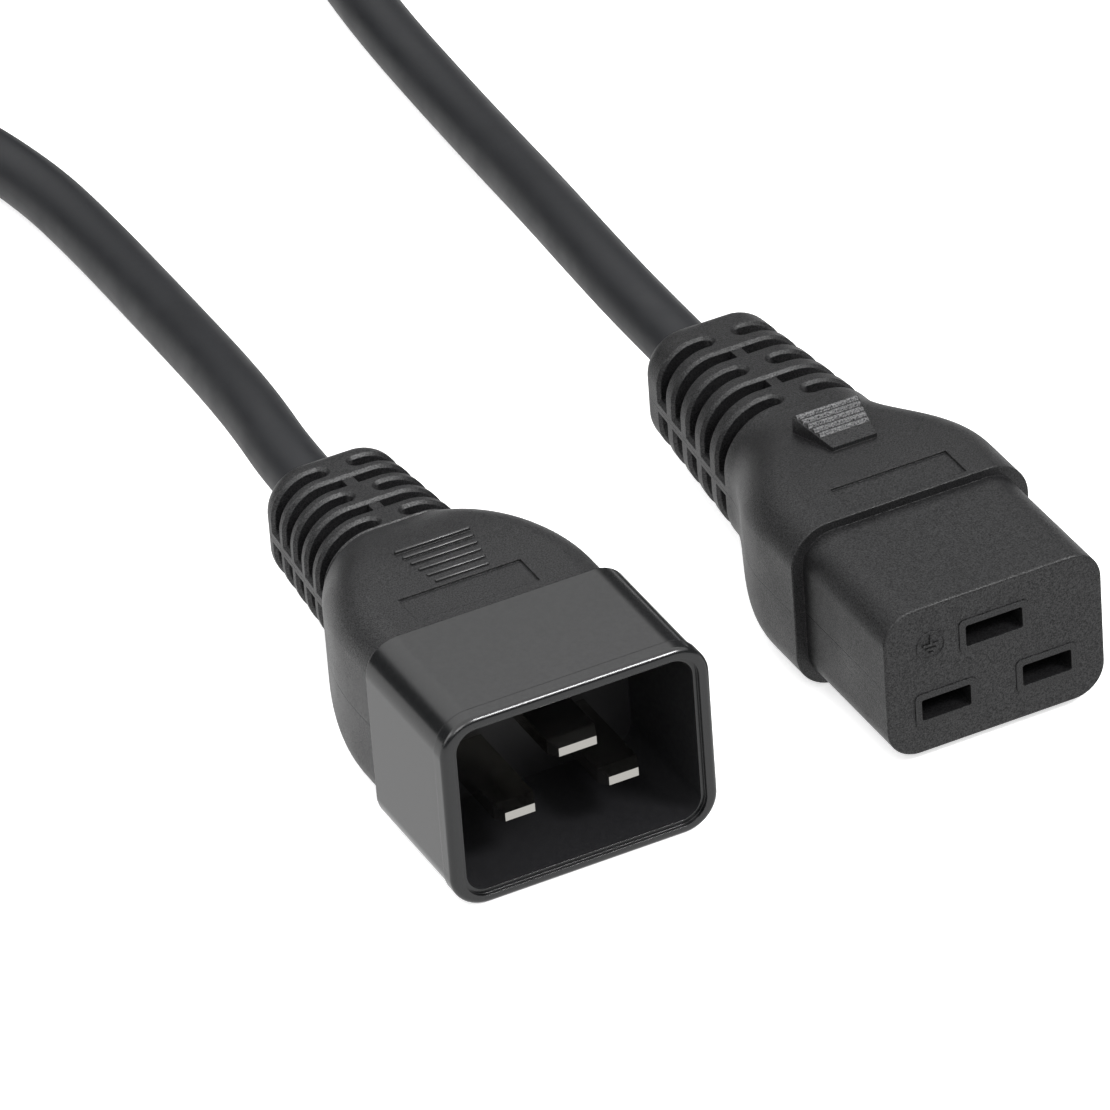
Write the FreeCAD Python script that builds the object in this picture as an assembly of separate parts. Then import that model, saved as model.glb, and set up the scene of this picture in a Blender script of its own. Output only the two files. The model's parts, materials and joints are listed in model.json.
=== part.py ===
"""Power lead: a moulded C19 connector, its cord in a tied coil, and the C20 plug on its far end.

Millimetres. X runs across the connector, its mating face looks to -Y, and Z is up from the
surface that the lead lies on. The origin is under the middle of the connector.

Each end is drawn about its own axis: local y is the distance back from the mating face, and
local z is measured from the axis. main() then moves the finished solids to where that end lies.
"""
import FreeCAD, Part
import math
import os

V = FreeCAD.Vector
FRONT_TO_BACK = V(0, 1, 0)
UP = V(0, 0, 1)

# ---- contact layout, shared by both ends ----
LINE_NEUTRAL_SPACING = 13.0
EARTH_OFFSET = 8.0
CONTACTS = {
    "line": (LINE_NEUTRAL_SPACING / 2, -EARTH_OFFSET / 2),
    "neutral": (-LINE_NEUTRAL_SPACING / 2, -EARTH_OFFSET / 2),
    "earth": (0.0, EARTH_OFFSET / 2),
}
BLADE_WIDTH = {"line": 5.0, "neutral": 5.0, "earth": 6.0}
BLADE_THICKNESS = 2.0

# ---- cord ----
CORD_DIAMETER = 7.5
CORE_DIAMETER = 2.6
CORE_RING = 1.6                 # from the cord's axis to a core's axis
CONDUCTOR_DIAMETER = 1.7
CRIMP_DIAMETER = 3.4
CRIMP_LENGTH = 6.0
CRIMP_END_WALL = 0.5
NECK_WIDTH, NECK_THICKNESS = 2.4, 0.8
MOULD_WIDTH, MOULD_HEIGHT, MOULD_RADIUS = 20.6, 13.6, 2.5
MOULD_NECK_WIDTH, MOULD_NECK_HEIGHT = 11.2, 10.4
CORE_BEND_RADIUS = 4.5

# ---- C19 connector ----
CONNECTOR_LENGTH = 71.2
BODY_WIDTH, BODY_HEIGHT, BODY_RADIUS = 30.8, 21.8, 5.0
BLOCK_WIDTH, BLOCK_HEIGHT, BLOCK_RADIUS = 28.0, 19.5, 4.0
BLOCK_DEPTH = 19.3
FACE_ROUND, STEP_ROUND = 0.3, 0.45                  # at the mating face, and where the body steps out
PAD_FRONT, PAD_BACK = (32.2, 5.8), (39.4, 8.6)      # distance from the face, width
PAD_RISE_FRONT, PAD_RISE_BACK = 0.35, 1.1           # above the body's flat top
PAD_RIBS, PAD_RIB_PITCH, PAD_RIB_WIDTH, PAD_RIB_RISE = 5, 1.02, 0.84, 0.3
PAD_RIB_MARGIN = 0.4            # bare at both ends of a rib together
ENTRY_HEIGHT = 2.8
ENTRY_SIDE_CLEARANCE = 0.65     # each end of the blade
CONNECTOR_SHOULDER_START = 26.0
CONNECTOR_CRIMP = 18.0
CONNECTOR_JACKET_START = 37.0
CONNECTOR_CORE_BEND = (26.0, 35.5)
CONNECTOR_MOULD_ENDS = (32.0, 41.0)                 # of its wide part and of its neck
FRONT_WALL = 1.6
TOWER_WALL = 0.8
CARRIER_WIDTH, CARRIER_HEIGHT, CARRIER_END = 24.4, 15.6, 15.6
RECEPTACLE_START = 4.2
RECEPTACLE_WALL = 0.5
RECEPTACLE_BACK = 1.0           # solid stretch behind the blade's space
LIP_LENGTH, LIP_FLARE = 1.2, 0.35
SEAM_WIDTH = 0.3
CONNECTOR_FIELD = (-7.0, 8.0), (20.2, 25.2)         # limits across and along

# ---- C20 plug ----
PLUG_LENGTH = 65.3
SHROUD_WIDTH, SHROUD_HEIGHT, SHROUD_RADIUS = 33.0, 24.5, 4.2
SHROUD_LENGTH = 19.6
SHROUD_WALL_SIDE, SHROUD_WALL_TOP = 1.8, 1.5
RIM_BEAD, RIM_BEAD_LENGTH = 0.2, 2.2
RIM_ROUND = 0.7
RIM_STEP_DEPTH, RIM_STEP = 0.5, 0.55                # step inside the rim
SHROUD_FLOOR = 17.6
HUB_WIDTH, HUB_HEIGHT, HUB_END = 26.0, 18.4, 24.0
PLUG_BODY_WIDTH, PLUG_BODY_HEIGHT, PLUG_BODY_RADIUS = 31.2, 23.0, 4.5
EARTH_TIP, LINE_TIP = 0.4, 2.9
TIP_CHAMFER = 0.45
GRIP_FRONT, GRIP_BACK = (28.0, 6.8), (35.6, 9.5)    # distance from the face, width
GRIP_RIBS, GRIP_RIB_WIDTH, GRIP_RIB_RISE = 6, 0.4, 0.25
PLUG_SHOULDER_START = 25.5
PLUG_JACKET_START = 42.0
PLUG_CORE_BEND = (32.5, 40.5)
PLUG_MOULD_ENDS = (37.0, 45.0)                      # of its wide part and of its neck
PLUG_FIELD = (-8.6, 6.8), (22.0, 27.0)              # limits across and along

# ---- both ends ----
FIELD_DEPTH = 0.3               # bare field sunk into the top

# ---- strain relief, both ends ----
# start and end along the axis, the corner centres' offsets, the corner radius at start and end,
# the first slot row, the pitch of the rows and the width of a slot
CONNECTOR_BOOT = dict(start=45.5, end=CONNECTOR_LENGTH, across=3.1, up=2.4, radii=(7.0, 4.95),
                      first_row=47.7, pitch=4.33, slot=2.1)
PLUG_BOOT = dict(start=45.2, end=PLUG_LENGTH, across=3.1, up=2.2, radii=(6.5, 5.1),
                 first_row=47.0, pitch=3.45, slot=1.85)
SLOT_ROWS = 5
BOOT_CORE_WIDTH, BOOT_CORE_HEIGHT, BOOT_CORE_RADIUS = 11.6, 10.8, 5.0
WIDE_WEB, NARROW_WEB, SIDE_WEB = 3.1, 1.4, 2.0
WEB_RECESS = 0.5
RIB_CHAMFER = 0.4
BOOT_END_ROUND = 2.8
SHOULDER_STEPS = 8

# ---- where the two ends lie ----
CONNECTOR_PLACE = V(0, -CONNECTOR_LENGTH / 2, BODY_HEIGHT / 2)
PLUG_PLACE = V(-51.5, -33.9, SHROUD_HEIGHT / 2 + RIM_BEAD)

# ---- put-away coil ----
COIL_CENTRE = V(-22.5, 245.0, 0)
COIL_LAYER_TURNS = 3
COIL_MIDDLE_RADIUS = 41.5
COIL_CORNER = 2.2               # cut off each corner of the coil's section
TIE_THICKNESS = 1.0
TIE_WIDTH = 9.0

# ---- the cord's route where it isn't coiled, chosen by hand ----
CORD_RADIUS = CORD_DIAMETER / 2
LEAD_ROUTE = [
    (0.0, 35.6, 10.9), (0.0, 51.4, 10.9), (1.0, 67.4, 10.2), (3.0, 84.4, 8.2),
    (5.1, 101.9, 5.6), (6.6, 119.4, 4.2), (7.8, 138.4, 3.75), (9.8, 157.4, 3.75),
    (15.5, 174.4, 3.8), (24.5, 188.4, 4.2), (30.25, 204.0, 4.75), (30.25, 219.0, 4.75),
]
TAIL_ROUTE = [
    (-71.5, 213.0, 12.25), (-71.5, 199.4, 12.25), (-69.3, 184.4, 9.4), (-63.5, 170.4, 6.0),
    (-55.3, 157.4, 4.2), (-48.8, 142.9, 3.75), (-45.7, 126.9, 3.95), (-45.6, 109.9, 4.9),
    (-46.5, 93.4, 6.6), (-47.7, 77.4, 8.7), (-49.0, 63.9, 10.8), (-50.2, 52.4, 12.1),
    (-51.5, 41.4, 12.45), (-51.5, 31.4, 12.45),
]


# ---------------------------------------------------------------- drawing helpers
def section(y, width, height, radius):
    """Closed rounded rectangle across the axis at distance y from the face."""
    a, b = width / 2, height / 2
    r = min(radius, a - 0.01, b - 0.01)
    k = r * (1 - math.sqrt(0.5))
    corners = [(1, 1), (-1, 1), (-1, -1), (1, -1)]
    edges = []
    for i, (sx, sz) in enumerate(corners):
        beside = V(sx * a, y, sz * (b - r))
        above = V(sx * (a - r), y, sz * b)
        middle = V(sx * (a - k), y, sz * (b - k))
        start, end = (beside, above) if i % 2 == 0 else (above, beside)
        edges.append(Part.Arc(start, middle, end).toShape())
        nx, nz = corners[(i + 1) % 4]
        following = V(nx * (a - r), y, nz * b) if i % 2 == 0 else V(nx * a, y, nz * (b - r))
        edges.append(Part.makeLine(end, following))
    return Part.Wire(edges)


def prism(y0, y1, width, height, radius=0.3, x=0.0, z=0.0):
    """Rounded bar along the axis, centred on (x, z)."""
    solid = Part.Face(section(y0, width, height, radius)).extrude(V(0, y1 - y0, 0))
    solid.translate(V(x, 0, z))
    return solid


def loft(sections):
    """Smooth closed solid through (y, width, height, radius) sections."""
    return Part.makeLoft([section(*one) for one in sections], True, False, False, 3)


def block(x, y, z):
    """Box between pairs of limits."""
    return Part.makeBox(x[1] - x[0], y[1] - y[0], z[1] - z[0], V(x[0], y[0], z[0]))


def rod(x, z, y0, y1, diameter):
    """Cylinder along the axis."""
    return Part.makeCylinder(diameter / 2, y1 - y0, V(x, y0, z), FRONT_TO_BACK)


def fuse(shapes):
    """One solid from touching shapes, with seams between like faces removed."""
    return shapes[0].multiFuse(shapes[1:]).removeSplitter()


def ease(t):
    """Smooth step from 0 to 1."""
    t = max(0.0, min(1.0, t))
    return t * t * (3 - 2 * t)


def rounded_path(points, radius_of):
    """Wire of straight runs joined by tangent arcs; returns the wire and the arcs' radii."""
    points = [V(*p) for p in points]
    edges, radii, at = [], [], points[0]
    for before, corner, after in zip(points, points[1:], points[2:]):
        into, out = corner - before, after - corner
        turn = into.getAngle(out)
        radius = radius_of(min(into.Length, out.Length), turn)
        reach = radius * math.tan(turn / 2)
        into.normalize()
        out.normalize()
        start, end = corner - into * reach, corner + out * reach
        inward = (out - into).normalize()
        middle = corner + inward * (radius / math.cos(turn / 2) - radius)
        edges += [Part.LineSegment(at, start).toShape(), Part.Arc(start, middle, end).toShape()]
        radii.append(radius)
        at = end
    edges.append(Part.LineSegment(at, points[-1]).toShape())
    return Part.Wire(edges), radii


def tube(points, diameter, radius_of):
    """Round bar swept along a rounded path."""
    path, radii = rounded_path(points, radius_of)
    start, heading = V(*points[0]), V(*points[1]) - V(*points[0])
    ring = Part.Wire([Part.makeCircle(diameter / 2, start, heading)])
    sweep = Part.BRepOffsetAPI.MakePipeShell(path)
    sweep.add(ring)
    sweep.build()
    sweep.makeSolid()
    return sweep.shape(), path.Length, radii


def edges_at(solid, y):
    """Edges of a solid that lie across the axis at distance y from the face."""
    return [e for e in solid.Edges if all(abs(v.Y - y) < 1e-4 for v in e.Vertexes)]


def round_front(solid, y, radius):
    """Round the front outer edge of a bar."""
    return solid.makeFillet(radius, edges_at(solid, y))


# ---------------------------------------------------------------- strain relief
def corner_radius(boot, y):
    """Radius of a strain relief's corners, which tapers evenly towards the cord."""
    t = (y - boot["start"]) / (boot["end"] - boot["start"])
    return boot["radii"][0] + (boot["radii"][1] - boot["radii"][0]) * t


def boot_section(boot, y):
    """Width, height and corner radius of a strain relief at y."""
    r = corner_radius(boot, y)
    return 2 * (boot["across"] + r), 2 * (boot["up"] + r), r


def tapered_bar(boot, inset=0.0):
    """Rounded bar with flat sides and conical corners, from the start to the end of a boot."""
    a, c = boot["across"], boot["up"]
    r0, r1 = [r - inset for r in boot["radii"]]
    length = boot["end"] - boot["start"]
    tall = Part.makeWedge(-a, 0, -c - r0, -c - r1, -a, a, length, c + r0, c + r1, a)
    broad = Part.makeWedge(-a - r0, 0, -c, -c, -a - r1, a + r0, length, c, c, a + r1)
    corners = [Part.makeCone(r0, r1, length, V(sx * a, 0, sz * c), FRONT_TO_BACK)
               for sx in (-1, 1) for sz in (-1, 1)]
    bar = fuse([tall, broad] + corners)
    bar.translate(V(0, boot["start"], 0))
    return bar


def slot_cutters(boot):
    """Rows of slots, four to a row, with webs left above, below and at each side."""
    slot, reach = boot["slot"], 12.0
    low, high = boot["start"] - reach, boot["end"]
    core = prism(low, high, BOOT_CORE_WIDTH, BOOT_CORE_HEIGHT, BOOT_CORE_RADIUS)
    lowered = tapered_bar(boot, WEB_RECESS)
    cutters = []
    for row in range(SLOT_ROWS):
        y = boot["first_row"] + row * boot["pitch"]
        span, full = (y - slot / 2, y + slot / 2), (-reach, reach)
        ring = block(full, span, full).cut(core)
        ring = ring.cut(block(full, span, (-SIDE_WEB / 2, SIDE_WEB / 2)))
        if row % 2 == 0:
            end_x = (WIDE_WEB + slot) / 2
            web = block((-end_x, end_x), span, full)
            for x in (-end_x, end_x):
                web = web.cut(Part.makeCylinder(slot / 2, 2 * reach, V(x, y, -reach), UP))
        else:
            web = block((-NARROW_WEB / 2, NARROW_WEB / 2), span, full).common(lowered)
        cutters.append(ring.cut(web))
    return cutters


def edges_on(solid, skin, span):
    """Short edges of a solid that lie on a skin between two distances from the face."""
    found = []
    for edge in solid.Edges:
        first, last = edge.FirstParameter, edge.LastParameter
        probes = [edge.valueAt(first + (last - first) * k) for k in (0.1, 0.5, 0.9)]
        if not span[0] < probes[1].y < span[1] or edge.BoundBox.YLength > 5.0:
            continue
        if max(skin.distToShape(Part.Vertex(p))[0] for p in probes) < 0.01:
            found.append(edge)
    return found


def strain_relief(boot):
    """Tapered boot with rounded end, slots and chamfered ribs."""
    bar = tapered_bar(boot)
    bar = bar.makeFillet(BOOT_END_ROUND, edges_at(bar, boot["end"]))
    skin = Part.Compound([f for f in bar.Faces if f.BoundBox.YLength > boot["slot"]])
    slotted = bar
    for cutter in slot_cutters(boot):
        slotted = slotted.cut(cutter)
    last_row = boot["first_row"] + (SLOT_ROWS - 1) * boot["pitch"]
    ribs = edges_on(slotted, skin, (boot["first_row"] - boot["slot"], last_row + boot["slot"]))
    return slotted.makeChamfer(RIB_CHAMFER, ribs)


def shoulder(start, boot, body, draw_width, draw_height):
    """Loft that draws a moulded body in to the section of its strain relief."""
    sections = []
    slim = boot_section(boot, boot["start"])
    for step in range(SHOULDER_STEPS + 1):
        t = step / SHOULDER_STEPS
        drawn = (draw_width(t), draw_height(t), ease(t))
        sections.append((start + (boot["start"] - start) * t,
                         *[b + (s - b) * d for b, s, d in zip(body, slim, drawn)]))
    return loft(sections)


# ---------------------------------------------------------------- inside both ends
def core_ring(name):
    """Place of a core inside the cord's jacket."""
    side = {"line": 1, "neutral": -1, "earth": 0}[name]
    angle = math.radians(90 if side == 0 else -90 + side * 60)
    return CORE_RING * math.cos(angle), CORE_RING * math.sin(angle)


def core(name, crimp_end, bend, jacket_end):
    """Insulated core from its stripped end in the crimp to the end of the cord's jacket."""
    x, z = CONTACTS[name]
    jx, jz = core_ring(name)
    points = [(x, crimp_end, z), (x, bend[0], z), (jx, bend[1], jz), (jx, jacket_end, jz)]
    insulated, _, _ = tube(points, CORE_DIAMETER, lambda run, turn: CORE_BEND_RADIUS)
    stripped = rod(x, z, crimp_end - CRIMP_LENGTH + CRIMP_END_WALL, crimp_end, CONDUCTOR_DIAMETER)
    return fuse([insulated, stripped])


def crimp(name, neck_start, crimp_start):
    """Flat neck and rolled barrel that hold a core's conductor."""
    x, z = CONTACTS[name]
    neck = block((x - NECK_WIDTH / 2, x + NECK_WIDTH / 2), (neck_start, crimp_start + CRIMP_END_WALL),
                 (z - NECK_THICKNESS / 2, z + NECK_THICKNESS / 2))
    barrel = rod(x, z, crimp_start, crimp_start + CRIMP_LENGTH, CRIMP_DIAMETER)
    hole = rod(x, z, crimp_start + CRIMP_END_WALL, crimp_start + CRIMP_LENGTH, CONDUCTOR_DIAMETER)
    return neck, barrel.cut(hole)


def inner_mould(front, step, back):
    """Block first moulded round the crimps, with a narrower neck round the jacket's end."""
    wide = prism(front, step, MOULD_WIDTH, MOULD_HEIGHT, MOULD_RADIUS)
    neck = prism(step, back, MOULD_NECK_WIDTH, MOULD_NECK_HEIGHT, MOULD_RADIUS)
    return fuse([wide, neck])


def hollow_jacket(y0, y1, cores):
    """Stripped end of the cord's jacket around the three cores."""
    return rod(0, 0, y0, y1, CORD_DIAMETER).cut(Part.Compound(cores))


# ---------------------------------------------------------------- C19 connector
def entry_size(name):
    return BLADE_WIDTH[name] + 2 * ENTRY_SIDE_CLEARANCE, ENTRY_HEIGHT


def receptacle_size(name):
    """Outside width and height of a female contact."""
    return BLADE_WIDTH[name] + 1.2, BLADE_THICKNESS + 2 * RECEPTACLE_WALL + 0.05


def female_contact(name):
    """Folded box receptacle with flared lips, a seam below, its neck and its crimp."""
    x, z = CONTACTS[name]
    width, height = receptacle_size(name)
    half_width, half_height = width / 2 - RECEPTACLE_WALL, height / 2 - RECEPTACLE_WALL
    length = (RECEPTACLE_START, CARRIER_END - RECEPTACLE_BACK)
    outside = block((x - width / 2, x + width / 2), (RECEPTACLE_START, CARRIER_END),
                    (z - height / 2, z + height / 2))
    inside = block((x - half_width, x + half_width), length, (z - half_height, z + half_height))
    mouth = Part.makeWedge(-half_width - LIP_FLARE, 0, -half_height - LIP_FLARE, -half_height,
                           -half_width, half_width + LIP_FLARE, LIP_LENGTH,
                           half_height + LIP_FLARE, half_height, half_width)
    mouth.translate(V(x, RECEPTACLE_START, z))
    seam = block((x - SEAM_WIDTH / 2, x + SEAM_WIDTH / 2), length,
                 (z - height / 2, z - half_height))
    box = outside.cut(inside).cut(mouth).cut(seam)
    neck, barrel = crimp(name, CARRIER_END, CONNECTOR_CRIMP)
    return fuse([box, neck, barrel])


def tower(name, wall, y0, y1):
    x, z = CONTACTS[name]
    width, height = entry_size(name)
    return prism(y0, y1, width + 2 * wall, height + 2 * wall, 0.3 + wall * 0.5, x, z)


def connector():
    """Every piece of the C19 connector about its own axis."""
    flat_top = BODY_HEIGHT / 2
    cores = {n: core(n, CONNECTOR_CRIMP + CRIMP_LENGTH, CONNECTOR_CORE_BEND, CONNECTOR_LENGTH)
             for n in CONTACTS}
    contacts = {n: female_contact(n) for n in CONTACTS}

    carrier_body = prism(FRONT_WALL, CARRIER_END, CARRIER_WIDTH, CARRIER_HEIGHT, 2.5)
    towers = [tower(n, TOWER_WALL, 0, FRONT_WALL) for n in CONTACTS]
    carrier_shape = fuse([carrier_body] + towers)
    carrier = carrier_shape
    for n, (x, z) in CONTACTS.items():
        width, height = receptacle_size(n)
        carrier = carrier.cut(tower(n, 0.0, 0, RECEPTACLE_START))
        carrier = carrier.cut(block((x - width / 2, x + width / 2),
                                    (RECEPTACLE_START, CARRIER_END),
                                    (z - height / 2, z + height / 2)))

    jacket_shape = rod(0, 0, CONNECTOR_JACKET_START, CONNECTOR_LENGTH, CORD_DIAMETER)
    inner_shape = inner_mould(CARRIER_END, *CONNECTOR_MOULD_ENDS)
    inner = inner_shape.cut(jacket_shape).cut(Part.Compound(list(cores.values())))
    inner = inner.cut(Part.Compound([
        rod(*CONTACTS[n], CONNECTOR_CRIMP, CONNECTOR_CRIMP + CRIMP_LENGTH, CRIMP_DIAMETER)
        for n in CONTACTS] + list(contacts.values())))

    face_block = prism(0, CONNECTOR_SHOULDER_START, BLOCK_WIDTH, BLOCK_HEIGHT, BLOCK_RADIUS)
    face_block = round_front(face_block, 0.0, FACE_ROUND)
    body = prism(BLOCK_DEPTH, CONNECTOR_SHOULDER_START, BODY_WIDTH, BODY_HEIGHT, BODY_RADIUS)
    body = round_front(body, BLOCK_DEPTH, STEP_ROUND)
    boot = CONNECTOR_BOOT
    curve = shoulder(CONNECTOR_SHOULDER_START, boot, (BODY_WIDTH, BODY_HEIGHT, BODY_RADIUS),
                     lambda t: ease(t ** 1.25), lambda t: ease(t ** 1.25))
    outside = fuse([face_block, body, curve, strain_relief(boot), thumb_pad(flat_top)])
    field = block(*CONNECTOR_FIELD, (flat_top - FIELD_DEPTH, flat_top + 1))
    overmould = outside.cut(field).cut(carrier_shape).cut(inner_shape).cut(jacket_shape)

    pieces = {"connector_overmould": overmould, "contact_carrier": carrier,
              "connector_inner_mould": inner,
              "connector_cord_end": hollow_jacket(CONNECTOR_JACKET_START, CONNECTOR_LENGTH,
                                                  list(cores.values()))}
    for n in CONTACTS:
        pieces[f"{n}_contact"] = contacts[n]
        pieces[f"connector_{n}_core"] = cores[n]
    return pieces


def thumb_pad(flat_top):
    """Wedge that the thumb presses, narrower at the front and ribbed at the back."""
    (y0, w0), (y1, w1) = PAD_FRONT, PAD_BACK
    top0, top1 = flat_top + PAD_RISE_FRONT, flat_top + PAD_RISE_BACK
    foot, roof = flat_top / 2, 2 * flat_top
    corners = [V(-w0 / 2, y0, 0), V(w0 / 2, y0, 0), V(w1 / 2, y1, 0), V(-w1 / 2, y1, 0)]
    plan = Part.Face(Part.makePolygon(corners + corners[:1])).extrude(V(0, 0, roof))
    profile = [V(-w1, y0, foot), V(-w1, y0, top0), V(-w1, y1, top1), V(-w1, y1, foot)]
    side = Part.Face(Part.makePolygon(profile + profile[:1])).extrude(V(2 * w1, 0, 0))
    ribs = []
    for i in range(PAD_RIBS):
        y = y1 - PAD_RIB_PITCH * (i + 0.5)
        t = (y - y0) / (y1 - y0)
        width = w0 + (w1 - w0) * t - PAD_RIB_MARGIN
        ribs.append(cross_rib(y, top0 + (top1 - top0) * t, width, PAD_RIB_WIDTH, PAD_RIB_RISE))
    return fuse([plan.common(side)] + ribs)


def cross_rib(y, z, width, thickness, rise):
    """Small ridge across the part with sloping sides, rooted below the surface at z."""
    root, crest = thickness / 2, thickness / 5
    profile = [V(-width / 2, y - root, z - rise), V(-width / 2, y - crest, z + rise),
               V(-width / 2, y + crest, z + rise), V(-width / 2, y + root, z - rise)]
    return Part.Face(Part.makePolygon(profile + profile[:1])).extrude(V(width, 0, 0))


# ---------------------------------------------------------------- C20 plug
def pin(name):
    """Flat blade with a chamfered tip, through the floor to its crimp."""
    x, z = CONTACTS[name]
    tip = EARTH_TIP if name == "earth" else LINE_TIP
    width, thick = BLADE_WIDTH[name], BLADE_THICKNESS
    blade = block((x - width / 2, x + width / 2), (tip, HUB_END),
                  (z - thick / 2, z + thick / 2))
    blade = blade.makeChamfer(TIP_CHAMFER, edges_at(blade, tip))
    neck, barrel = crimp(name, HUB_END, HUB_END)
    return fuse([blade, neck, barrel])


def plug_shroud():
    """Hard housing: beaded rim, shroud, floor that holds the pins, and the hub behind it."""
    shell = prism(0, SHROUD_LENGTH, SHROUD_WIDTH, SHROUD_HEIGHT, SHROUD_RADIUS)
    bead = prism(0, RIM_BEAD_LENGTH, SHROUD_WIDTH + 2 * RIM_BEAD, SHROUD_HEIGHT + 2 * RIM_BEAD,
                 SHROUD_RADIUS + RIM_BEAD)
    outside = round_front(fuse([shell, bead]), 0.0, RIM_ROUND)
    cavity_width = SHROUD_WIDTH - 2 * SHROUD_WALL_SIDE
    cavity_height = SHROUD_HEIGHT - 2 * SHROUD_WALL_TOP
    cavity = prism(-1, SHROUD_FLOOR, cavity_width, cavity_height, 2.6)
    step = prism(-1, RIM_STEP_DEPTH, cavity_width + 2 * RIM_STEP, cavity_height + 2 * RIM_STEP, 3.1)
    return fuse([outside.cut(cavity).cut(step), hub()])


def hub():
    """Block behind the shroud that the overmould grips."""
    return prism(SHROUD_LENGTH - 1, HUB_END, HUB_WIDTH, HUB_HEIGHT, 3.0)


def plug():
    """Every piece of the C20 plug about its own axis."""
    flat_top = PLUG_BODY_HEIGHT / 2
    crimp_end = HUB_END + CRIMP_LENGTH
    cores = {n: core(n, crimp_end, PLUG_CORE_BEND, PLUG_LENGTH) for n in CONTACTS}
    pins = {n: pin(n) for n in CONTACTS}
    shroud = plug_shroud().cut(Part.Compound(list(pins.values())))

    jacket_shape = rod(0, 0, PLUG_JACKET_START, PLUG_LENGTH, CORD_DIAMETER)
    inner_shape = inner_mould(HUB_END, *PLUG_MOULD_ENDS)
    inner = inner_shape.cut(jacket_shape).cut(Part.Compound(list(cores.values())))
    inner = inner.cut(Part.Compound([rod(*CONTACTS[n], HUB_END, crimp_end, CRIMP_DIAMETER)
                                     for n in CONTACTS]))

    boot = PLUG_BOOT
    body = prism(SHROUD_LENGTH, PLUG_SHOULDER_START, PLUG_BODY_WIDTH, PLUG_BODY_HEIGHT,
                 PLUG_BODY_RADIUS)
    curve = shoulder(PLUG_SHOULDER_START, boot,
                     (PLUG_BODY_WIDTH, PLUG_BODY_HEIGHT, PLUG_BODY_RADIUS),
                     lambda t: t * t, lambda t: t ** 4)
    (y0, w0), (y1, w1) = GRIP_FRONT, GRIP_BACK
    steps = [i / (GRIP_RIBS - 1) for i in range(GRIP_RIBS)]
    ribs = [cross_rib(y0 + (y1 - y0) * t, flat_top, w0 + (w1 - w0) * t, GRIP_RIB_WIDTH, GRIP_RIB_RISE)
            for t in steps]
    outside = fuse([body, curve, strain_relief(boot)] + ribs)
    field = block(*PLUG_FIELD, (flat_top - FIELD_DEPTH, flat_top + 1))
    overmould = outside.cut(field).cut(hub()).cut(inner_shape).cut(jacket_shape)

    pieces = {"plug_overmould": overmould, "plug_shroud": shroud, "plug_inner_mould": inner,
              "plug_cord_end": hollow_jacket(PLUG_JACKET_START, PLUG_LENGTH, list(cores.values()))}
    for n in CONTACTS:
        pieces[f"{n}_pin"] = pins[n]
        pieces[f"plug_{n}_core"] = cores[n]
    return pieces


# ---------------------------------------------------------------- cord
def cord_tube(route):
    """Cord along its route, with arcs as large as the runs allow."""
    return tube(route, CORD_DIAMETER, lambda run, turn: 0.45 * run / math.tan(turn / 2))


def flattened(width, height, cut):
    """Closed rectangle across the axis with its corners cut off."""
    a, b = width / 2, height / 2
    quarter = [(a, b - cut), (a - cut, b)]
    mirrored = [(-x, z) for x, z in reversed(quarter)]
    upper = quarter + mirrored
    lower = [(-x, -z) for x, z in upper]
    points = [V(x, 0, z) for x, z in upper + lower]
    return Part.Face(Part.makePolygon(points + points[:1]))


def coil_limits():
    """Inner and outer radius and bottom and top of the coil."""
    half = (COIL_LAYER_TURNS + 0.5) * CORD_RADIUS
    bottom = TIE_THICKNESS
    return (COIL_MIDDLE_RADIUS - half, COIL_MIDDLE_RADIUS + half,
            bottom, bottom + 2 * CORD_DIAMETER)


def cord_coil():
    """Outer shape of the coil, with the two straight stretches by which the cord joins it."""
    inner, outer, bottom, top = coil_limits()
    middle = (inner + outer) / 2
    face = flattened(outer - inner, top - bottom, COIL_CORNER)
    face.translate(V(middle, 0, (bottom + top) / 2))
    ring = face.revolve(V(0, 0, 0), UP, 360)
    ring.translate(COIL_CENTRE)
    arms = []
    for end in (V(*LEAD_ROUTE[-1]), V(*TAIL_ROUTE[0])):
        arms.append(Part.makeCylinder(CORD_RADIUS, COIL_CENTRE.y - end.y, end, FRONT_TO_BACK))
    return fuse([ring] + arms)


def coil_tie(side, coil):
    """Flat strap round the coil's turns, on one side of it."""
    inner, outer, bottom, top = coil_limits()
    thick = TIE_THICKNESS
    middle = (inner + outer) / 2
    strap = flattened(outer - inner + 2 * thick, top - bottom + 2 * thick,
                      COIL_CORNER + TIE_THICKNESS / 2).extrude(V(0, TIE_WIDTH, 0))
    strap.translate(V(middle, -TIE_WIDTH / 2, (bottom + top) / 2))
    strap.rotate(V(0, 0, 0), UP, 90 * side)
    strap.translate(COIL_CENTRE)
    return strap.cut(coil)


def write(name, shape):
    """Export one node, and say if it isn't one sound solid."""
    if shape.ShapeType != "Solid" and len(shape.Solids) == 1:
        shape = shape.Solids[0]
    if not shape.isValid() or len(shape.Solids) != 1:
        print("CHECK", name, shape.isValid(), len(shape.Solids))
    shape.exportStep(f"parts/{name}.step")


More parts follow.
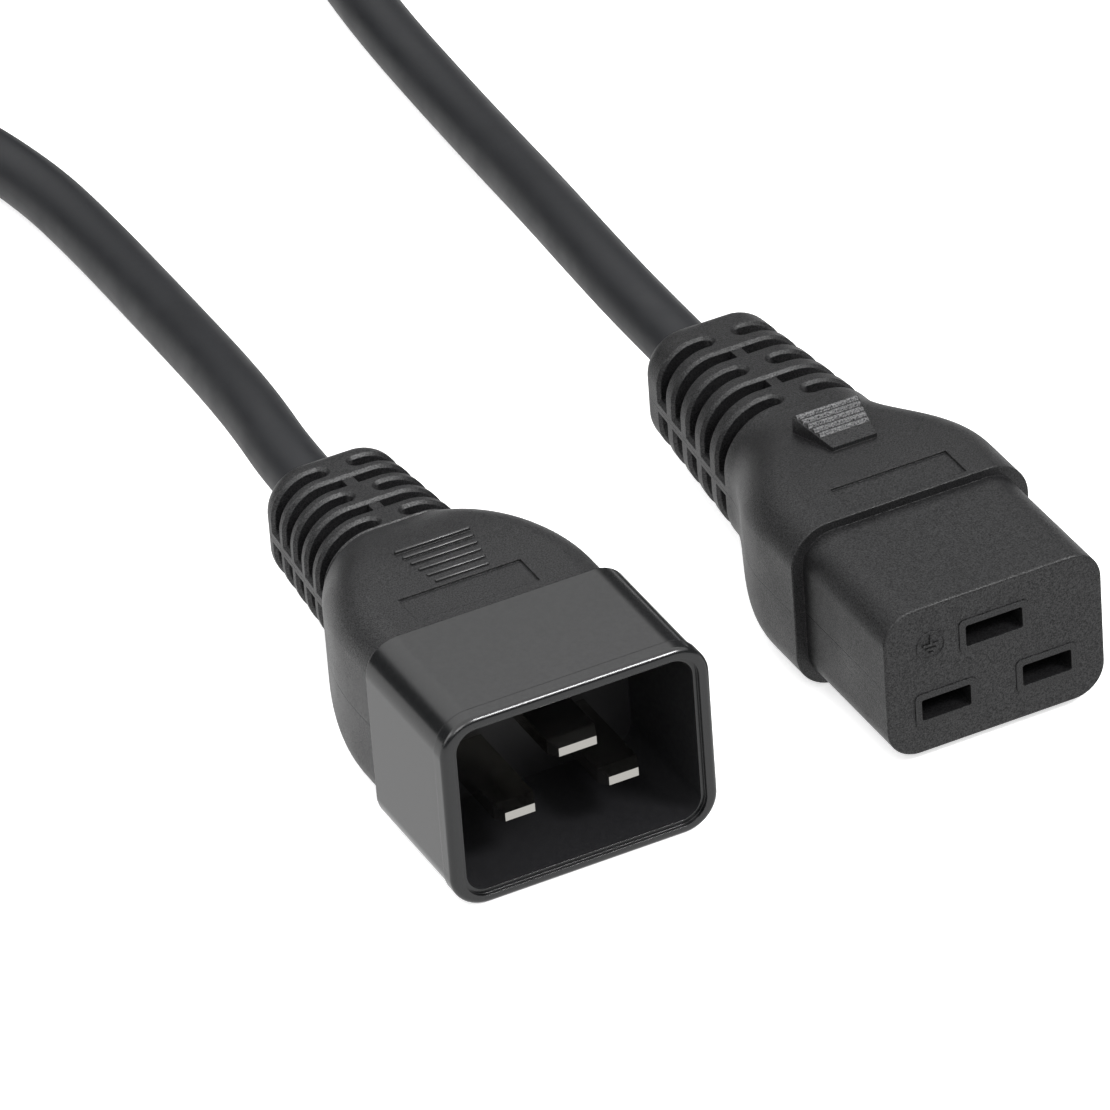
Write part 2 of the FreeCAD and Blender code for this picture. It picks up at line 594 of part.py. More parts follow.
def main():
    os.makedirs("parts", exist_ok=True)
    for pieces, place in ((connector(), CONNECTOR_PLACE), (plug(), PLUG_PLACE)):
        for name, shape in pieces.items():
            shape.translate(place)
            write(name, shape)

    coil = cord_coil()
    write("cord_coil", coil)
    write("coil_tie_near", coil_tie(-1, coil))
    write("coil_tie_far", coil_tie(1, coil))
    for name, route in (("cord_lead", LEAD_ROUTE), ("cord_tail", TAIL_ROUTE)):
        shape, length, radii = cord_tube(route)
        write(name, shape)
        area = math.pi * CORD_RADIUS ** 2
        print(f"{name}: length {length:.1f}, volume/section {shape.Volume / area:.1f},",
              "radii", [round(r) for r in radii])
    turns = 2 * COIL_LAYER_TURNS - 0.5
    print(f"coil: {turns} turns, about {turns * 2 * math.pi * COIL_MIDDLE_RADIUS:.0f} mm")


if __name__ == "__main__":
    main()
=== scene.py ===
import bpy
import json
import math
from mathutils import Matrix, Vector

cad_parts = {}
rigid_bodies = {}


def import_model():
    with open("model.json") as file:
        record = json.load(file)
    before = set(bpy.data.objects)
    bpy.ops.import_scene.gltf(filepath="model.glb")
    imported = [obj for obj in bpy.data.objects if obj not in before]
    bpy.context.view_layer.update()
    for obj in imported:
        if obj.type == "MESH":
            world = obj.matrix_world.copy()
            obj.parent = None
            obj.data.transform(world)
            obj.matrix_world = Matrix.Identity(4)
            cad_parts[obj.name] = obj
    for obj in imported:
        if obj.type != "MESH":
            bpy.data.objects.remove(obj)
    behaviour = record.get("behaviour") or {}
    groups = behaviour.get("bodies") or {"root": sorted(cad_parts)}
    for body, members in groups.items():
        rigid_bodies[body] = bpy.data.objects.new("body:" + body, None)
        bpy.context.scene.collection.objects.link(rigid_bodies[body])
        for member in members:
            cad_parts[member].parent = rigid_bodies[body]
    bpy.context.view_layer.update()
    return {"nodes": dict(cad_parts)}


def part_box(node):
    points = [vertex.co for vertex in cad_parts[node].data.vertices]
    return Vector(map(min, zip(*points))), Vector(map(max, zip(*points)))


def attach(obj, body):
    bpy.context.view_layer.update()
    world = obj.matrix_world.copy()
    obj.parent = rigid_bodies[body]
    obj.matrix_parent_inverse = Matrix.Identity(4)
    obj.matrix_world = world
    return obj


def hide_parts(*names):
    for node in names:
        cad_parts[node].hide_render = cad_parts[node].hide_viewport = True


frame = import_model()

bl_info = {
    "name": "C19 power lead",
    "version": (1, 0, 0),
    "blender": (4, 5, 0),
    "location": "View3D > Sidebar > Power lead",
    "description": "Dresses the moulded C19 connector, its C20 plug and the cord between them",
    "category": "Object",
}

MM = 0.001
NODES = frame["nodes"]

# ---------------------------------------------------------------- how the mouldings are shaded
MERGE = 0.002 * MM                      # corners nearer than this are one
SLACK, TOUCH = 0.005 * MM, 0.01 * MM    # how far a corner may lie from the plane it belongs to
SAME_PLANE = math.cos(math.radians(0.25))
BROAD_FLAT = 1.3 * MM                   # a facet's area over its length, from which it's a flat
# Degrees between two faces, from which they meet in an edge and not in a round.
CREASE, SHROUD_CREASE, PIN_CREASE, NEW_PIECE_CREASE = 17.0, 38.0, 8.0, 40.0

# ---------------------------------------------------------------- the connector's measures
CONNECTOR_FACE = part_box("contact_carrier")[0][1]
CONNECTOR_AXIS_HEIGHT = 10.9 * MM       # half of the body's 21.8 mm
BODY_SIZE, BODY_ROUND = (30.8 * MM, 21.8 * MM), 5.0 * MM
STEP_PLACE = CONNECTOR_FACE + 19.3 * MM   # where the body steps out from the front block
STEP_ROUND, STEP_LEFT = 0.45 * MM, 0.3  # the round there, and the share of it that's kept
CARRIER_PROUD = 0.1 * MM                # how far the walls round the slots stand out
# The thumb pad's edges, in millimetres. Then its normals: how far the pad's own leans to the
# front, how much a rib's differs from that, and how far a rib's may lean sideways.
PAD_FLOOR, PAD_HALF_WIDTH, PAD_FRONT, PAD_BACK = 22.3, 4.3, -1.6, 3.78
PAD_SLOPE, RIB_SLOPE, RIB_SIDE = 0.104, 0.03, 0.3
# The earth sign: its middle, its ring's radius, and how thick and how high its lines are.
MARK_PLACE = Vector((-8.1 * MM, CONNECTOR_FACE, 15.3 * MM))
MARK_RADIUS, MARK_LINE, MARK_RISE = 1.75 * MM, 0.26 * MM, 0.2 * MM
# The bars inside the ring: place above its middle, width and height.
MARK_BARS = (
    (0.75 * MM, MARK_LINE, 1.1 * MM), (0.1 * MM, 2.2 * MM, MARK_LINE),
    (-0.45 * MM, 1.4 * MM, MARK_LINE), (-1.0 * MM, 0.6 * MM, MARK_LINE),
)

# ---------------------------------------------------------------- the plug's measures
PLUG_MIDDLE, PLUG_AXIS_HEIGHT = -51.5 * MM, 12.45 * MM
# The hollow round the pins, in millimetres: its ends along the plug and half its inside.
HOLLOW_FRONT, HOLLOW_BACK, HOLLOW_ACROSS, HOLLOW_UP = -33.0, -16.0, 14.9, 11.0
# A pin's tip: what comes off each side, how deep its chamfers are, and how much further back
# they are drawn.
TIP_NARROWED, TIP_CHAMFER, TIP_DRAWN_BACK = 0.2 * MM, 0.6 * MM, 1.2 * MM
GRIP_RIDGES, GRIP_START = 6, -5.9 * MM  # the first ridge's place along the plug
GRIP_HEIGHT = 24.03 * MM                # just above the flat top of the plug's body
GRIP_LENGTH = 7.6 * MM                  # from the first ridge to the last
GRIP_CREST, GRIP_DOME = 0.2 * MM, 0.16 * MM   # the radius of a crest, and of its ends' edges
GRIP_SHORTEST, GRIP_FLARE = 6.8 * MM, 1.35 * MM  # the first one, and the last's gain at each end

# ---------------------------------------------------------------- the finishes' measures
SEAM_START, SEAM_DEPTH = 0.4 * MM, 0.1 * MM   # how far behind the mating face, and how deep
PLUG_PVC = "#1b1b1c"                    # a little greyer than the connector's
UNREACHED = -1.0                        # metres, a height or face that no surface comes near
NOISE_RANGE = {"From Min": 0.3, "From Max": 0.7}   # where nearly all of a noise lies
WAVE_PERIOD = 0.314                     # a wave texture's, at a scale of 1

# ---------------------------------------------------------------- the stage's measures
FLOOR_SIZE, PAPER_GLOW = 12.0, 0.6      # metres, and the light that lifts the paper to white
# Each softbox's name, place and side in metres, and power in watts.
LAMPS = (
    ("key softbox", (0.45, -0.72, 0.98), 0.3, 11.0),
    ("camera softbox", (-0.48, -0.88, 0.91), 0.6, 3.4),
    ("side softbox", (-1.1, 0.15, 0.55), 0.7, 3.0),
)
LAMP_AIM = Vector((-0.02, 0.0, 0.01))
# Sines of the angle above the horizon between which the ceiling begins, and its light.
CEILING = {"From Min": 0.45, "From Max": 0.56, "To Min": 0.1, "To Max": 1.42}

# ---------------------------------------------------------------- the cord's measures
# The route where the cord isn't coiled, the same points as in the part's source, in millimetres.
LEAD_ROUTE = [
    (0.0, 35.6, 10.9), (0.0, 51.4, 10.9), (1.0, 67.4, 10.2), (3.0, 84.4, 8.2),
    (5.1, 101.9, 5.6), (6.6, 119.4, 4.2), (7.8, 138.4, 3.75), (9.8, 157.4, 3.75),
    (15.5, 174.4, 3.8), (24.5, 188.4, 4.2), (30.25, 204.0, 4.75), (30.25, 219.0, 4.75),
]
TAIL_ROUTE = [
    (-71.5, 213.0, 12.25), (-71.5, 199.4, 12.25), (-69.3, 184.4, 9.4), (-63.5, 170.4, 6.0),
    (-55.3, 157.4, 4.2), (-48.8, 142.9, 3.75), (-45.7, 126.9, 3.95), (-45.6, 109.9, 4.9),
    (-46.5, 93.4, 6.6), (-47.7, 77.4, 8.7), (-49.0, 63.9, 10.8), (-50.2, 52.4, 12.1),
    (-51.5, 41.4, 12.45), (-51.5, 31.4, 12.45),
]
COIL_CENTRE = (-22.5, 245.0, 0.0)
COIL_FLOOR = 4.75 * MM                  # the middle of the cord in the turns that lie lowest
TURNS_IN, TURNS_OUT = 3.0, 2.5          # inwards on the floor, then outwards on those


def linear(hex_colour):
    """Turns an sRGB hex colour into the linear RGBA that a shader reads."""
    channels = [int(hex_colour[i:i + 2], 16) / 255 for i in (1, 3, 5)]
    return [c / 12.92 if c <= 0.04045 else ((c + 0.055) / 1.055) ** 2.4 for c in channels] + [1.0]


# ---------------------------------------------------------------- settings
class CordSettings(bpy.types.PropertyGroup):
    """Sizes and colour of the flexible cord."""
    diameter: bpy.props.FloatProperty(
        name="Diameter", description="Outside diameter of the jacket",
        default=7.5 * MM, min=5 * MM, max=12 * MM, unit="LENGTH")
    coil_radius: bpy.props.FloatProperty(
        name="Coil radius", description="Radius at the outside turn of the put-away coil",
        default=52.75 * MM, unit="LENGTH")
    points_per_turn: bpy.props.IntProperty(
        name="Points per turn", description="Control points in each turn of the coil",
        default=16, min=12, max=48)
    colour: bpy.props.FloatVectorProperty(
        name="Jacket", description="Colour of the smooth PVC jacket", subtype="COLOR",
        size=4, min=0, max=1, default=linear("#0b0d12"))


class MouldingSettings(bpy.types.PropertyGroup):
    """Colours and edge sizes of the mouldings at the two ends."""
    pvc: bpy.props.FloatVectorProperty(
        name="Overmould", description="Colour of the grained PVC overmoulds", subtype="COLOR",
        size=4, min=0, max=1, default=linear("#161617"))
    carrier: bpy.props.FloatVectorProperty(
        name="Contact carrier", description="Colour of the insert round the slots",
        subtype="COLOR", size=4, min=0, max=1, default=linear("#161617"))
    shroud: bpy.props.FloatVectorProperty(
        name="Shroud", description="Colour of the hard shroud round the pins", subtype="COLOR",
        size=4, min=0, max=1, default=linear("#0f1011"))
    plating: bpy.props.FloatVectorProperty(
        name="Plating", description="Colour of the nickel on pins and contacts",
        subtype="COLOR", size=4, min=0, max=1, default=linear("#b9b7b2"))
    edge: bpy.props.FloatProperty(
        name="Edge break", description="Rounding of the moulded edges",
        default=0.14 * MM, min=0.0, max=1 * MM, unit="LENGTH")
    seam: bpy.props.FloatProperty(
        name="Parting line", description="Width of the line where the mould's halves met",
        default=0.16 * MM, min=0.0, max=1 * MM, unit="LENGTH")


class StageSettings(bpy.types.PropertyGroup):
    """Camera, lamps and floor."""
    azimuth: bpy.props.FloatProperty(
        name="Azimuth", description="Turn of the camera round the lead", subtype="ANGLE",
        default=math.radians(-24.487))
    elevation: bpy.props.FloatProperty(
        name="Elevation", description="Height of the camera above the horizon",
        subtype="ANGLE", default=math.radians(33.665))
    roll: bpy.props.FloatProperty(
        name="Roll", description="Tilt of the camera about its own axis", subtype="ANGLE",
        default=math.radians(-4.467))
    distance: bpy.props.FloatProperty(
        name="Distance", description="From the camera to the point it looks at",
        default=1.10223, unit="LENGTH")
    lens: bpy.props.FloatProperty(
        name="Lens", description="Focal length on a 36 mm sensor, in millimetres",
        default=315.065)
    target: bpy.props.FloatVectorProperty(
        name="Target", description="The point the camera looks at", subtype="TRANSLATION",
        size=3, default=(-0.038416, -0.002665, 0.019765))
    floor: bpy.props.FloatVectorProperty(
        name="Floor", description="Colour of the floor", subtype="COLOR", size=4,
        min=0, max=1, default=linear("#f4f4f4"))


# ---------------------------------------------------------------- helpers
def add_node(material, kind, settings=None, links=None):
    """Adds a shader node, sets its properties and sockets, and links outputs to its inputs."""
    tree = material.node_tree
    node = tree.nodes.new(kind)
    for name, value in (settings or {}).items():
        if isinstance(name, int) or name in node.inputs:
            node.inputs[name].default_value = value
        else:
            setattr(node, name, value)
    for name, output in (links or {}).items():
        tree.links.new(output, node.inputs[name])
    return node


def new_material(name):
    """An empty node material, and the output that gives a point's place on the piece."""
    material = bpy.data.materials.new(name)
    material.use_nodes = True
    material.node_tree.nodes.clear()
    return material, add_node(material, "ShaderNodeTexCoord").outputs["Object"]


def deselect_all():
    """Leaves edit mode and deselects every object."""
    if bpy.context.object and bpy.context.object.mode != "OBJECT":
        bpy.ops.object.mode_set(mode="OBJECT")
    bpy.ops.object.select_all(action="DESELECT")


def activate(*objects):
    """Selects only these objects and makes the first one active."""
    deselect_all()
    for obj in objects:
        obj.select_set(True)
    bpy.context.view_layer.objects.active = objects[0]


def apply_all_modifiers(obj):
    """Applies an object's modifiers in their order."""
    activate(obj)
    for modifier in list(obj.modifiers):
        bpy.ops.object.modifier_apply(modifier=modifier.name)


def settle(obj):
    """Puts an object's place into its mesh, so that it sits at the origin."""
    activate(obj)
    bpy.ops.object.transform_apply(location=True, rotation=True, scale=True)


def joined(name, parts):
    """Makes one piece of the parts, smooth where they are round."""
    activate(*parts)
    bpy.ops.object.join()
    piece = bpy.context.object
    piece.name = name
    settle(piece)
    bpy.ops.object.shade_smooth_by_angle(angle=math.radians(NEW_PIECE_CREASE))
    return piece


def dress(node_name, material):
    """Puts a material on a CAD node that keeps its own shape."""
    mesh = NODES[node_name].data
    mesh.materials.clear()
    mesh.materials.append(material)


def finish_piece(piece, material, slot, *replaced):
    """Gives a new piece its material and body, and hides the nodes it stands for. The slot is not
    used.
    """
    piece.data.materials.clear()
    piece.data.materials.append(material)
    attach(piece, "root")
    if replaced:
        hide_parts(*replaced)


def joined_facets(mesh, faces):
    """Numbers the facets, each a group of neighbouring faces in one plane."""
    facet = list(range(len(faces)))

    def first(index):
        while facet[index] != index:
            facet[index] = facet[facet[index]]
            index = facet[index]
        return index

    beside = {}
    for face in faces:
        for key in face.edge_keys:
            beside.setdefault(key, []).append(face.index)
    for pair in beside.values():
        if len(pair) == 2 and faces[pair[0]].normal.dot(faces[pair[1]].normal) > SAME_PLANE:
            facet[first(pair[0])] = first(pair[1])
    return [first(index) for index in range(len(faces))]


def shade_by_facets(mesh, crease):
    """Corner normals that keep broad flats flat and turn smoothly on the rounds between.

    The crease is in degrees."""
    faces = mesh.polygons
    facet = joined_facets(mesh, faces)
    area, reach = {}, {}
    for face in faces:
        group = facet[face.index]
        area[group] = area.get(group, 0.0) + face.area
        low, high = reach.setdefault(group, ([math.inf] * 3, [-math.inf] * 3))
        for vertex in face.vertices:
            for axis, value in enumerate(mesh.vertices[vertex].co):
                low[axis], high[axis] = min(low[axis], value), max(high[axis], value)
    broad = {}
    for group, (low, high) in reach.items():
        length = (Vector(high) - Vector(low)).length
        broad[group] = area[group] > BROAD_FLAT * max(length, MM)
    around = {}
    for face in faces:
        for vertex in face.vertices:
            around.setdefault(vertex, []).append(face)
    turn = math.cos(math.radians(crease))
    corners = []
    for face in faces:
        for vertex in face.vertices:
            normal = face.normal.copy()
            if not broad[facet[face.index]]:
                normal = normal * face.area
                for other in around[vertex]:
                    if other.index != face.index and other.normal.dot(face.normal) > turn:
                        weight = 1.0 if broad[facet[other.index]] else other.area
                        normal += other.normal * weight
            corners.append(normal.normalized())
    mesh.shade_smooth()
    mesh.normals_split_custom_set(corners)


def smooth_casting(node_name, piece_name, crease=CREASE):
    """A merged copy of a CAD node, shaded smooth on its rounds and flat on its flats."""
    mesh = NODES[node_name].data.copy()
    piece = bpy.data.objects.new(piece_name, mesh)
    bpy.context.scene.collection.objects.link(piece)
    activate(piece)
    bpy.ops.object.mode_set(mode="EDIT")
    bpy.ops.mesh.select_all(action="SELECT")
    bpy.ops.mesh.remove_doubles(threshold=MERGE)
    bpy.ops.object.mode_set(mode="OBJECT")
    shade_by_facets(mesh, crease)
    return piece


def dress_patch(piece, material, inside):
    """Gives a second material to the faces that inside() picks."""
    piece.data.materials.append(material)
    slot = len(piece.data.materials) - 1
    for face in piece.data.polygons:
        if inside(face):
            face.material_index = slot


def grained_pvc(name, colour, axis_height, face, seam, edge, grit=0.17, depth=0.06, gloss=0.42,
                grit_painted_contrast=0.5):
    """Moulded PVC from a spark-eroded mould: matte, with an even grit and a faint seam.

    Grit and depth are in millimetres, and the rest in metres."""
    material, place = new_material(name)
    # The eroded mould leaves grit a sixth of a millimetre across, which sparkles softly.
    grains = add_node(material, "ShaderNodeTexNoise",
                      {"Scale": 1 / (grit * MM), "Detail": 2.0, "Roughness": 0.6},
                      {"Vector": place})
    # Broad clouding, a few millimetres across, from the flow of the melt.
    cloud = add_node(material, "ShaderNodeTexNoise",
                     {"Scale": 1 / (7.0 * MM), "Detail": 2.0}, {"Vector": place})
    # The colour follows the grit's relief: it is painted darker in the pits as painted shade and
    # lighter on the peaks as a painted highlight, and the peaks also reflect more.
    grit_painted_light = add_node(material, "ShaderNodeMapRange",
                     {"From Min": 0.33, "From Max": 0.67, "To Min": 1 - grit_painted_contrast,
                      "To Max": 1 + grit_painted_contrast}, {"Value": grains.outputs["Fac"]})
    tint = add_node(material, "ShaderNodeMapRange",
                    {**NOISE_RANGE, "To Min": 0.9, "To Max": 1.1},
                    {"Value": cloud.outputs["Fac"]})
    tone_and_grit_painted_light = add_node(material, "ShaderNodeMath", {"operation": "MULTIPLY"},
                       {0: tint.outputs["Result"], 1: grit_painted_light.outputs["Result"]})
    base = add_node(material, "ShaderNodeVectorMath",
                    {"operation": "SCALE", 0: list(colour)[:3]}, {"Scale": tone_and_grit_painted_light.outputs[0]})
    shine = add_node(material, "ShaderNodeMath", {"operation": "MULTIPLY", 1: 0.5},
                     {0: grit_painted_light.outputs["Result"]})
    rough = add_node(material, "ShaderNodeMapRange",
                     {**NOISE_RANGE, "To Min": gloss - 0.04, "To Max": gloss + 0.06},
                     {"Value": cloud.outputs["Fac"]})
    rounded = add_node(material, "ShaderNodeBevel", {"Radius": edge, "samples": 6})
    grain = add_node(material, "ShaderNodeBump", {"Strength": 1.0, "Distance": depth * MM},
                     {"Height": grains.outputs["Fac"], "Normal": rounded.outputs[0]})
    # The mould's halves met at the axis and left a line as fine as a hair, which stops short of
    # the mating face.
    split = add_node(material, "ShaderNodeSeparateXYZ", {}, {"Vector": place})
    off = add_node(material, "ShaderNodeMath", {"operation": "SUBTRACT", 1: axis_height},
                   {0: split.outputs["Z"]})
    away = add_node(material, "ShaderNodeMath", {"operation": "ABSOLUTE"}, {0: off.outputs[0]})
    ridge = add_node(material, "ShaderNodeMapRange",
                     {"From Min": seam / 2, "From Max": 0.0, "To Min": 0.0, "To Max": 1.0,
                      "interpolation_type": "SMOOTHSTEP"}, {"Value": away.outputs[0]})
    behind = add_node(material, "ShaderNodeMath",
                      {"operation": "GREATER_THAN", 1: face + SEAM_START},
                      {0: split.outputs["Y"]})
    kept = add_node(material, "ShaderNodeMath", {"operation": "MULTIPLY"},
                    {0: ridge.outputs["Result"], 1: behind.outputs[0]})
    line = add_node(material, "ShaderNodeBump",
                    {"Strength": 1.0, "Distance": SEAM_DEPTH, "invert": True},
                    {"Height": kept.outputs[0], "Normal": grain.outputs["Normal"]})
    shader = add_node(material, "ShaderNodeBsdfPrincipled", {"IOR": 1.47},
                      {"Base Color": base.outputs[0], "Roughness": rough.outputs["Result"],
                       "Specular IOR Level": shine.outputs[0],
                       "Normal": line.outputs["Normal"]})
    add_node(material, "ShaderNodeOutputMaterial", {}, {"Surface": shader.outputs[0]})
    return material


def smooth_plastic(name, colour, roughness, edge, ripple=0.01):
    """Hard plastic from a polished mould: sharp reflections, hardly any grain.

    The ripple is in millimetres."""
    material, place = new_material(name)
    # Polishing leaves waves some 2 mm long, which wobble the reflections very slightly.
    wave = add_node(material, "ShaderNodeTexNoise",
                    {"Scale": 1 / (2.2 * MM), "Detail": 1.0}, {"Vector": place})
    # Handling scuffs the gloss in specks about half a millimetre across.
    scuff = add_node(material, "ShaderNodeTexNoise",
                     {"Scale": 1 / (0.5 * MM), "Detail": 4.0}, {"Vector": place})
    rough = add_node(material, "ShaderNodeMapRange",
                     {"From Min": 0.35, "From Max": 0.7,
                      "To Min": roughness * 0.9, "To Max": roughness * 1.15},
                     {"Value": scuff.outputs["Fac"]})
    rounded = add_node(material, "ShaderNodeBevel", {"Radius": edge, "samples": 6})
    bump = add_node(material, "ShaderNodeBump", {"Strength": 0.2, "Distance": ripple * MM},
                    {"Height": wave.outputs["Fac"], "Normal": rounded.outputs[0]})
    shader = add_node(material, "ShaderNodeBsdfPrincipled",
                      {"Base Color": list(colour), "IOR": 1.6},
                      {"Roughness": rough.outputs["Result"], "Normal": bump.outputs["Normal"]})
    add_node(material, "ShaderNodeOutputMaterial", {}, {"Surface": shader.outputs[0]})
    return material


def cord_pvc(name, colour):
    """Extruded PVC jacket: satin, with a bloom on it and a slightly uneven skin."""
    material, place = new_material(name)
    # Talc and handling leave a soft bloom a few millimetres across.
    bloom = add_node(material, "ShaderNodeTexNoise",
                     {"Scale": 1 / (5.0 * MM), "Detail": 3.0}, {"Vector": place})
    rough = add_node(material, "ShaderNodeMapRange",
                     {**NOISE_RANGE, "To Min": 0.44, "To Max": 0.54},
                     {"Value": bloom.outputs["Fac"]})
    shine = add_node(material, "ShaderNodeMapRange",
                     {**NOISE_RANGE, "To Min": 0.95, "To Max": 1.06},
                     {"Value": bloom.outputs["Fac"]})
    base = add_node(material, "ShaderNodeVectorMath",
                    {"operation": "SCALE", 0: list(colour)[:3]},
                    {"Scale": shine.outputs["Result"]})
    # The die leaves a skin with unevenness half a millimetre across.
    skin = add_node(material, "ShaderNodeTexNoise",
                    {"Scale": 1 / (0.5 * MM), "Detail": 2.0}, {"Vector": place})
    bump = add_node(material, "ShaderNodeBump", {"Strength": 0.12, "Distance": 0.03 * MM},
                    {"Height": skin.outputs["Fac"]})
    shader = add_node(material, "ShaderNodeBsdfPrincipled", {"IOR": 1.52},
                      {"Base Color": base.outputs[0], "Roughness": rough.outputs["Result"],
                       "Normal": bump.outputs["Normal"]})
    add_node(material, "ShaderNodeOutputMaterial", {}, {"Surface": shader.outputs[0]})
    return material


def nickel_plating(name, colour):
    """Nickel on stamped brass: bright, with fine rolling lines along the blade."""
    material, place = new_material(name)
    # The strip's rolling lines run the length of the blade. Real ones are finer, and these are
    # drawn 0.12 mm wide so that they show.
    stretch = add_node(material, "ShaderNodeMapping", {"Scale": (1.0, 0.03, 1.0)},
                       {"Vector": place})
    lines = add_node(material, "ShaderNodeTexNoise",
                     {"Scale": 1 / (0.12 * MM), "Detail": 3.0},
                     {"Vector": stretch.outputs["Vector"]})
    rough = add_node(material, "ShaderNodeMapRange",
                     {**NOISE_RANGE, "To Min": 0.13, "To Max": 0.22},
                     {"Value": lines.outputs["Fac"]})
    bump = add_node(material, "ShaderNodeBump", {"Strength": 0.05, "Distance": 0.01 * MM},
                    {"Height": lines.outputs["Fac"]})
    shader = add_node(material, "ShaderNodeBsdfPrincipled",
                      {"Base Color": list(colour), "Metallic": 1.0},
                      {"Roughness": rough.outputs["Result"], "Normal": bump.outputs["Normal"]})
    add_node(material, "ShaderNodeOutputMaterial", {}, {"Surface": shader.outputs[0]})
    return material


def core_insulation(name, hex_colour, stripe_hex=None):
    """Flexible PVC insulation, glossy from the die, with yellow bands on the earth core."""
    material, place = new_material(name)
    mottle = add_node(material, "ShaderNodeTexNoise", {"Scale": 1 / (1.5 * MM)},
                      {"Vector": place})
    rough = add_node(material, "ShaderNodeMapRange",
                     {**NOISE_RANGE, "To Min": 0.32, "To Max": 0.42},
                     {"Value": mottle.outputs["Fac"]})
    shader = add_node(material, "ShaderNodeBsdfPrincipled",
                      {"Base Color": linear(hex_colour), "IOR": 1.52},
                      {"Roughness": rough.outputs["Result"]})
    if stripe_hex:
        split = add_node(material, "ShaderNodeSeparateXYZ", {}, {"Vector": place})
        # The yellow comes round once in about 12 mm of the core.
        wave = add_node(material, "ShaderNodeMath",
                        {"operation": "MULTIPLY", 1: 2 * math.pi / (12 * MM)},
                        {0: split.outputs["Y"]})
        swing = add_node(material, "ShaderNodeMath", {"operation": "SINE"}, {0: wave.outputs[0]})
        stripe = add_node(material, "ShaderNodeMath", {"operation": "GREATER_THAN", 1: 0.25},
                          {0: swing.outputs[0]})
        mix = add_node(material, "ShaderNodeMix",
                       {"data_type": "RGBA", 6: linear(hex_colour), 7: linear(stripe_hex)},
                       {0: stripe.outputs[0]})
        material.node_tree.links.new(mix.outputs[2], shader.inputs["Base Color"])
    add_node(material, "ShaderNodeOutputMaterial", {}, {"Surface": shader.outputs[0]})
    return material


def woven_strap(name, hex_colour):
    """Woven polyester strap: soft, with threads both ways."""
    material, place = new_material(name)
    # The threads lie 0.6 mm apart.
    warp = add_node(material, "ShaderNodeTexWave",
                    {"wave_type": "BANDS", "bands_direction": "X",
                     "Scale": WAVE_PERIOD / (0.6 * MM), "Distortion": 0.6}, {"Vector": place})
    weft = add_node(material, "ShaderNodeTexWave",
                    {"wave_type": "BANDS", "bands_direction": "DIAGONAL",
                     "Scale": WAVE_PERIOD / (0.6 * MM), "Distortion": 0.6}, {"Vector": place})
    weave = add_node(material, "ShaderNodeMath", {"operation": "MULTIPLY"},
                     {0: warp.outputs["Fac"], 1: weft.outputs["Fac"]})
    tint = add_node(material, "ShaderNodeMapRange", {"To Min": 0.7, "To Max": 1.25},
                    {"Value": weave.outputs[0]})
    base = add_node(material, "ShaderNodeVectorMath",
                    {"operation": "SCALE", 0: linear(hex_colour)[:3]},
                    {"Scale": tint.outputs["Result"]})
    bump = add_node(material, "ShaderNodeBump", {"Strength": 0.6, "Distance": 0.12 * MM},
                    {"Height": weave.outputs[0]})
    shader = add_node(material, "ShaderNodeBsdfPrincipled",
                      {"Roughness": 0.9, "Sheen Weight": 0.2},
                      {"Base Color": base.outputs[0], "Normal": bump.outputs["Normal"]})
    add_node(material, "ShaderNodeOutputMaterial", {}, {"Surface": shader.outputs[0]})
    return material


# ---------------------------------------------------------------- connector
def on_pad_ribs(face):
    """Whether a face is on one of the thumb pad's ribs, not on the sloping pad between."""
    place, normal = face.center / MM, face.normal
    on_pad = (place.z > PAD_FLOOR and abs(place.x) < PAD_HALF_WIDTH
              and PAD_FRONT < place.y < PAD_BACK)
    return on_pad and abs(normal.y + PAD_SLOPE) > RIB_SLOPE and abs(normal.x) < RIB_SIDE


